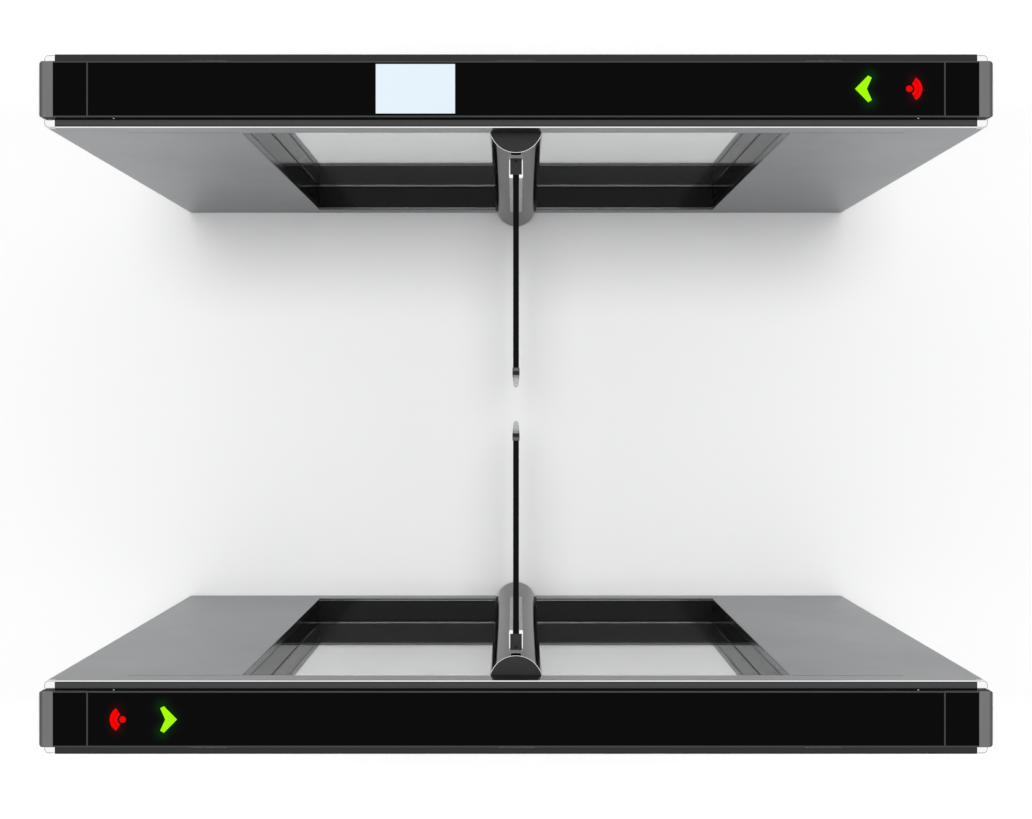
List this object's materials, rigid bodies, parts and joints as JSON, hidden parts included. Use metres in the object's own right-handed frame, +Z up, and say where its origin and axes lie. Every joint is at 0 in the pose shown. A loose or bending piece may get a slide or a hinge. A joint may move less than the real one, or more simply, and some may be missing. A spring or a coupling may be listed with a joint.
{
  "type": "speed gate",
  "caption": "Swing-wing speed gate: slim steel cabinets either side of a lane, glass wings on turning columns, hinged black glass lids.",
  "frame": {"origin": "on the floor at the centre of the lane, midway between the cabinets", "axes": "+X along the passage, +Y across the lane towards the cabinet with the display, +Z up"},
  "size_m": [1.553, 1.14, 1],
  "materials": {
    "base_steel": "satin primer",
    "brushed_steel": "fine brushed",
    "beam_steel": "plain",
    "polished_steel": "polished",
    "mirror_steel": "near mirror",
    "column_steel": "fine brushed",
    "clamp_steel": "satin",
    "bearing_steel": "ground",
    "profile_aluminium": "anodised",
    "black_profile": "black anodised",
    "cap_aluminium": "anodised",
    "rim_trim": "black anodised",
    "lid_frame": "black anodised",
    "column_cap": "black anodised",
    "black_deck": "high gloss",
    "motor_paint": "satin",
    "brake_coil": "potted",
    "circuit_board": "solder mask",
    "dark_plastic": "moulded",
    "black_rubber": "matt",
    "clear_bumper": "clear soft plastic",
    "black_glass": "gloss, printed black behind",
    "clear_glass": "toughened",
    "display_screen": "lit screen",
    "arrow_light": "lit",
    "reader_light": "lit"
  },
  "bodies": {
    "cabinets": {"left_base_plate": "base_steel", "right_base_plate": "base_steel", "left_lane_panel": "brushed_steel", "right_lane_panel": "brushed_steel", "left_outer_panel": "brushed_steel", "right_outer_panel": "brushed_steel", "left_top_beam": "beam_steel", "right_top_beam": "beam_steel", "left_motor": "motor_paint", "right_motor": "motor_paint", "end_panels": "brushed_steel", "corner_caps": "polished_steel", "jamb_panels": "mirror_steel", "plinth_decks": "black_deck", "centre_panes": "clear_glass", "pane_profiles": "black_profile", "rim_trims": "rim_trim", "end_frames": "lid_frame", "end_glasses": "black_glass", "end_caps": "cap_aluminium", "bearings": "bearing_steel", "brakes": "brake_coil", "control_boards": "circuit_board", "power_supplies": "profile_aluminium", "beam_sensors": "bearing_steel", "hinge_pins": "bearing_steel"},
    "left_wing": {"left_column_tube": "column_steel", "left_collar": "column_steel", "left_column_cap": "column_cap", "left_drive_hub": "profile_aluminium", "left_wing_clamp": "clamp_steel", "left_clamp_gasket": "black_rubber", "left_clamp_screws": "bearing_steel", "left_wing_glass": "clear_glass", "left_tip_profile": "dark_plastic", "left_wing_bumper": "clear_bumper"},
    "left_lid": {"left_lid_frame": "lid_frame", "left_lid_glass": "black_glass", "left_lid_hinges": "bearing_steel", "left_arrow_light": "arrow_light", "left_reader_light": "reader_light", "left_card_reader": "dark_plastic", "left_display": "display_screen"},
    "right_wing": {"right_column_tube": "column_steel", "right_collar": "column_steel", "right_column_cap": "column_cap", "right_drive_hub": "profile_aluminium", "right_wing_clamp": "clamp_steel", "right_clamp_gasket": "black_rubber", "right_clamp_screws": "bearing_steel", "right_wing_glass": "clear_glass", "right_tip_profile": "dark_plastic", "right_wing_bumper": "clear_bumper"},
    "right_lid": {"right_lid_frame": "lid_frame", "right_lid_glass": "black_glass", "right_lid_hinges": "bearing_steel", "right_arrow_light": "arrow_light", "right_reader_light": "reader_light", "right_card_reader": "dark_plastic"}
  },
  "joints": [
    {"name": "left_wing_swing", "type": "hinge", "parent": "cabinets", "child": "left_wing", "pos_m": [0, 0.4625, 0.5], "axis": [0, 0, 1], "range_deg": [-90, 90]},
    {"name": "left_lid_open", "type": "hinge", "parent": "cabinets", "child": "left_lid", "pos_m": [0, 0.556, 0.9908], "axis": [-1, 0, 0], "range_deg": [0, 80]},
    {"name": "right_wing_swing", "type": "hinge", "parent": "cabinets", "child": "right_wing", "pos_m": [0, -0.4625, 0.5], "axis": [0, 0, 1], "range_deg": [-90, 90]},
    {"name": "right_lid_open", "type": "hinge", "parent": "cabinets", "child": "right_lid", "pos_m": [0, -0.556, 0.9908], "axis": [1, 0, 0], "range_deg": [0, 80]}
  ]
}
